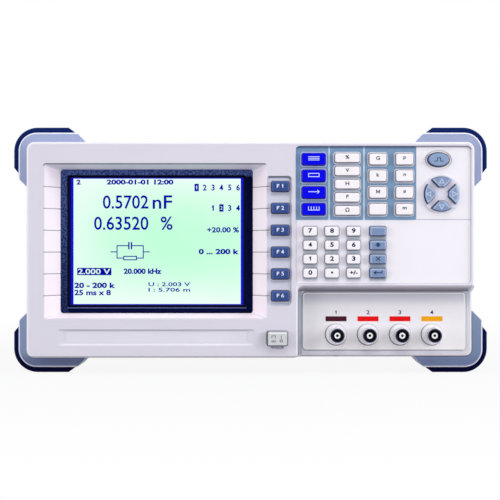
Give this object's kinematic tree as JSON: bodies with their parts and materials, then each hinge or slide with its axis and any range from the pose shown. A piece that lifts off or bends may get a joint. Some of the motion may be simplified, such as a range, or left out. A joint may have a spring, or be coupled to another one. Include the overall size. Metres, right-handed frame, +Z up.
{
  "type": "component tester",
  "caption": "Bench meter for capacitors, inductors and resistors: wide pale case with rubber corner bumpers, sunk lit screen, keypad that presses in, and a pocket of coaxial jacks.",
  "frame": {"origin": "on the table, under the middle of the instrument's overall box", "axes": "+X to the right as seen by the user, +Y from the front to the back, +Z up"},
  "size_m": [0.3274, 0.34, 0.1694],
  "materials": {
    "front_panel": "fine moulded texture, pale lavender grey",
    "display_bezel": "textured navy plastic",
    "lcd_module": "pale green lit screen with a blue border",
    "key_mat": "grey silicone rubber",
    "circuit_boards": "green laminate with dark parts",
    "bnc_jacks": "nickel plated shells with pale insulators",
    "case_cover": "fine textured pale grey paint",
    "chassis": "zinc plated sheet",
    "rear_panel": "fine textured grey paint",
    "corner_guards": "satin blue-grey moulding",
    "bumpers": "navy rubber",
    "power_supply": "dark laminate with wound parts",
    "mains_inlet": "black moulding with metal blades",
    "data_sockets": "plated shells",
    "screws": "zinc plated",
    "function_key": "satin dark blue",
    "mode_key": "satin strong blue",
    "quantity_key": "satin white",
    "multiplier_key": "satin white",
    "number_key": "satin white",
    "entry_key": "satin blue-grey",
    "trigger_key": "satin blue-grey",
    "arrow_key": "satin blue-grey",
    "power_button": "satin pale grey"
  },
  "bodies": {
    "instrument": {"front_panel": "front_panel", "display_bezel": "display_bezel", "lcd_module": "lcd_module", "key_mat": "key_mat", "circuit_boards": "circuit_boards", "bnc_jacks": "bnc_jacks", "case_cover": "case_cover", "chassis": "chassis", "rear_panel": "rear_panel", "corner_guards": "corner_guards", "bumpers": "bumpers", "power_supply": "power_supply", "mains_inlet": "mains_inlet", "data_sockets": "data_sockets", "screws": "screws"},
    "function_key_1": {"function_key_1": "function_key"},
    "function_key_2": {"function_key_2": "function_key"},
    "function_key_3": {"function_key_3": "function_key"},
    "function_key_4": {"function_key_4": "function_key"},
    "function_key_5": {"function_key_5": "function_key"},
    "function_key_6": {"function_key_6": "function_key"},
    "mode_key_1": {"mode_key_1": "mode_key"},
    "mode_key_2": {"mode_key_2": "mode_key"},
    "mode_key_3": {"mode_key_3": "mode_key"},
    "mode_key_4": {"mode_key_4": "mode_key"},
    "quantity_key_1": {"quantity_key_1": "quantity_key"},
    "quantity_key_2": {"quantity_key_2": "quantity_key"},
    "quantity_key_3": {"quantity_key_3": "quantity_key"},
    "quantity_key_4": {"quantity_key_4": "quantity_key"},
    "quantity_key_5": {"quantity_key_5": "quantity_key"},
    "multiplier_key_1": {"multiplier_key_1": "multiplier_key"},
    "multiplier_key_2": {"multiplier_key_2": "multiplier_key"},
    "multiplier_key_3": {"multiplier_key_3": "multiplier_key"},
    "multiplier_key_4": {"multiplier_key_4": "multiplier_key"},
    "multiplier_key_5": {"multiplier_key_5": "multiplier_key"},
    "multiplier_key_6": {"multiplier_key_6": "multiplier_key"},
    "multiplier_key_7": {"multiplier_key_7": "multiplier_key"},
    "multiplier_key_8": {"multiplier_key_8": "multiplier_key"},
    "number_key_0": {"number_key_0": "number_key"},
    "number_key_1": {"number_key_1": "number_key"},
    "number_key_2": {"number_key_2": "number_key"},
    "number_key_3": {"number_key_3": "number_key"},
    "number_key_4": {"number_key_4": "number_key"},
    "number_key_5": {"number_key_5": "number_key"},
    "number_key_6": {"number_key_6": "number_key"},
    "number_key_7": {"number_key_7": "number_key"},
    "number_key_8": {"number_key_8": "number_key"},
    "number_key_9": {"number_key_9": "number_key"},
    "decimal_key": {"decimal_key": "number_key"},
    "sign_key": {"sign_key": "number_key"},
    "entry_key_1": {"entry_key_1": "entry_key"},
    "entry_key_2": {"entry_key_2": "entry_key"},
    "entry_key_3": {"entry_key_3": "entry_key"},
    "entry_key_4": {"entry_key_4": "entry_key"},
    "trigger_key": {"trigger_key": "trigger_key"},
    "arrow_up_key": {"arrow_up_key": "arrow_key"},
    "arrow_down_key": {"arrow_down_key": "arrow_key"},
    "arrow_left_key": {"arrow_left_key": "arrow_key"},
    "arrow_right_key": {"arrow_right_key": "arrow_key"},
    "power_button": {"power_button": "power_button"}
  },
  "joints": [
    {"name": "function_key_1_press", "type": "slide", "parent": "instrument", "child": "function_key_1", "axis": [0, 1, 0], "range_m": [0, 0.0012], "stiffness_N_per_m": 1200},
    {"name": "function_key_2_press", "type": "slide", "parent": "instrument", "child": "function_key_2", "axis": [0, 1, 0], "range_m": [0, 0.0012], "stiffness_N_per_m": 1200},
    {"name": "function_key_3_press", "type": "slide", "parent": "instrument", "child": "function_key_3", "axis": [0, 1, 0], "range_m": [0, 0.0012], "stiffness_N_per_m": 1200},
    {"name": "function_key_4_press", "type": "slide", "parent": "instrument", "child": "function_key_4", "axis": [0, 1, 0], "range_m": [0, 0.0012], "stiffness_N_per_m": 1200},
    {"name": "function_key_5_press", "type": "slide", "parent": "instrument", "child": "function_key_5", "axis": [0, 1, 0], "range_m": [0, 0.0012], "stiffness_N_per_m": 1200},
    {"name": "function_key_6_press", "type": "slide", "parent": "instrument", "child": "function_key_6", "axis": [0, 1, 0], "range_m": [0, 0.0012], "stiffness_N_per_m": 1200},
    {"name": "mode_key_1_press", "type": "slide", "parent": "instrument", "child": "mode_key_1", "axis": [0, 1, 0], "range_m": [0, 0.0012], "stiffness_N_per_m": 1200},
    {"name": "mode_key_2_press", "type": "slide", "parent": "instrument", "child": "mode_key_2", "axis": [0, 1, 0], "range_m": [0, 0.0012], "stiffness_N_per_m": 1200},
    {"name": "mode_key_3_press", "type": "slide", "parent": "instrument", "child": "mode_key_3", "axis": [0, 1, 0], "range_m": [0, 0.0012], "stiffness_N_per_m": 1200},
    {"name": "mode_key_4_press", "type": "slide", "parent": "instrument", "child": "mode_key_4", "axis": [0, 1, 0], "range_m": [0, 0.0012], "stiffness_N_per_m": 1200},
    {"name": "quantity_key_1_press", "type": "slide", "parent": "instrument", "child": "quantity_key_1", "axis": [0, 1, 0], "range_m": [0, 0.0012], "stiffness_N_per_m": 1200},
    {"name": "quantity_key_2_press", "type": "slide", "parent": "instrument", "child": "quantity_key_2", "axis": [0, 1, 0], "range_m": [0, 0.0012], "stiffness_N_per_m": 1200},
    {"name": "quantity_key_3_press", "type": "slide", "parent": "instrument", "child": "quantity_key_3", "axis": [0, 1, 0], "range_m": [0, 0.0012], "stiffness_N_per_m": 1200},
    {"name": "quantity_key_4_press", "type": "slide", "parent": "instrument", "child": "quantity_key_4", "axis": [0, 1, 0], "range_m": [0, 0.0012], "stiffness_N_per_m": 1200},
    {"name": "quantity_key_5_press", "type": "slide", "parent": "instrument", "child": "quantity_key_5", "axis": [0, 1, 0], "range_m": [0, 0.0012], "stiffness_N_per_m": 1200},
    {"name": "multiplier_key_1_press", "type": "slide", "parent": "instrument", "child": "multiplier_key_1", "axis": [0, 1, 0], "range_m": [0, 0.0012], "stiffness_N_per_m": 1200},
    {"name": "multiplier_key_2_press", "type": "slide", "parent": "instrument", "child": "multiplier_key_2", "axis": [0, 1, 0], "range_m": [0, 0.0012], "stiffness_N_per_m": 1200},
    {"name": "multiplier_key_3_press", "type": "slide", "parent": "instrument", "child": "multiplier_key_3", "axis": [0, 1, 0], "range_m": [0, 0.0012], "stiffness_N_per_m": 1200},
    {"name": "multiplier_key_4_press", "type": "slide", "parent": "instrument", "child": "multiplier_key_4", "axis": [0, 1, 0], "range_m": [0, 0.0012], "stiffness_N_per_m": 1200},
    {"name": "multiplier_key_5_press", "type": "slide", "parent": "instrument", "child": "multiplier_key_5", "axis": [0, 1, 0], "range_m": [0, 0.0012], "stiffness_N_per_m": 1200},
    {"name": "multiplier_key_6_press", "type": "slide", "parent": "instrument", "child": "multiplier_key_6", "axis": [0, 1, 0], "range_m": [0, 0.0012], "stiffness_N_per_m": 1200},
    {"name": "multiplier_key_7_press", "type": "slide", "parent": "instrument", "child": "multiplier_key_7", "axis": [0, 1, 0], "range_m": [0, 0.0012], "stiffness_N_per_m": 1200},
    {"name": "multiplier_key_8_press", "type": "slide", "parent": "instrument", "child": "multiplier_key_8", "axis": [0, 1, 0], "range_m": [0, 0.0012], "stiffness_N_per_m": 1200},
    {"name": "number_key_0_press", "type": "slide", "parent": "instrument", "child": "number_key_0", "axis": [0, 1, 0], "range_m": [0, 0.0012], "stiffness_N_per_m": 1200},
    {"name": "number_key_1_press", "type": "slide", "parent": "instrument", "child": "number_key_1", "axis": [0, 1, 0], "range_m": [0, 0.0012], "stiffness_N_per_m": 1200},
    {"name": "number_key_2_press", "type": "slide", "parent": "instrument", "child": "number_key_2", "axis": [0, 1, 0], "range_m": [0, 0.0012], "stiffness_N_per_m": 1200},
    {"name": "number_key_3_press", "type": "slide", "parent": "instrument", "child": "number_key_3", "axis": [0, 1, 0], "range_m": [0, 0.0012], "stiffness_N_per_m": 1200},
    {"name": "number_key_4_press", "type": "slide", "parent": "instrument", "child": "number_key_4", "axis": [0, 1, 0], "range_m": [0, 0.0012], "stiffness_N_per_m": 1200},
    {"name": "number_key_5_press", "type": "slide", "parent": "instrument", "child": "number_key_5", "axis": [0, 1, 0], "range_m": [0, 0.0012], "stiffness_N_per_m": 1200},
    {"name": "number_key_6_press", "type": "slide", "parent": "instrument", "child": "number_key_6", "axis": [0, 1, 0], "range_m": [0, 0.0012], "stiffness_N_per_m": 1200},
    {"name": "number_key_7_press", "type": "slide", "parent": "instrument", "child": "number_key_7", "axis": [0, 1, 0], "range_m": [0, 0.0012], "stiffness_N_per_m": 1200},
    {"name": "number_key_8_press", "type": "slide", "parent": "instrument", "child": "number_key_8", "axis": [0, 1, 0], "range_m": [0, 0.0012], "stiffness_N_per_m": 1200},
    {"name": "number_key_9_press", "type": "slide", "parent": "instrument", "child": "number_key_9", "axis": [0, 1, 0], "range_m": [0, 0.0012], "stiffness_N_per_m": 1200},
    {"name": "decimal_key_press", "type": "slide", "parent": "instrument", "child": "decimal_key", "axis": [0, 1, 0], "range_m": [0, 0.0012], "stiffness_N_per_m": 1200},
    {"name": "sign_key_press", "type": "slide", "parent": "instrument", "child": "sign_key", "axis": [0, 1, 0], "range_m": [0, 0.0012], "stiffness_N_per_m": 1200},
    {"name": "entry_key_1_press", "type": "slide", "parent": "instrument", "child": "entry_key_1", "axis": [0, 1, 0], "range_m": [0, 0.0012], "stiffness_N_per_m": 1200},
    {"name": "entry_key_2_press", "type": "slide", "parent": "instrument", "child": "entry_key_2", "axis": [0, 1, 0], "range_m": [0, 0.0012], "stiffness_N_per_m": 1200},
    {"name": "entry_key_3_press", "type": "slide", "parent": "instrument", "child": "entry_key_3", "axis": [0, 1, 0], "range_m": [0, 0.0012], "stiffness_N_per_m": 1200},
    {"name": "entry_key_4_press", "type": "slide", "parent": "instrument", "child": "entry_key_4", "axis": [0, 1, 0], "range_m": [0, 0.0012], "stiffness_N_per_m": 1200},
    {"name": "trigger_key_press", "type": "slide", "parent": "instrument", "child": "trigger_key", "axis": [0, 1, 0], "range_m": [0, 0.0012], "stiffness_N_per_m": 1200},
    {"name": "arrow_up_key_press", "type": "slide", "parent": "instrument", "child": "arrow_up_key", "axis": [0, 1, 0], "range_m": [0, 0.0012], "stiffness_N_per_m": 1200},
    {"name": "arrow_down_key_press", "type": "slide", "parent": "instrument", "child": "arrow_down_key", "axis": [0, 1, 0], "range_m": [0, 0.0012], "stiffness_N_per_m": 1200},
    {"name": "arrow_left_key_press", "type": "slide", "parent": "instrument", "child": "arrow_left_key", "axis": [0, 1, 0], "range_m": [0, 0.0012], "stiffness_N_per_m": 1200},
    {"name": "arrow_right_key_press", "type": "slide", "parent": "instrument", "child": "arrow_right_key", "axis": [0, 1, 0], "range_m": [0, 0.0012], "stiffness_N_per_m": 1200},
    {"name": "power_button_press", "type": "slide", "parent": "instrument", "child": "power_button", "axis": [0, 1, 0], "range_m": [0, 0.003], "stiffness_N_per_m": 900}
  ]
}
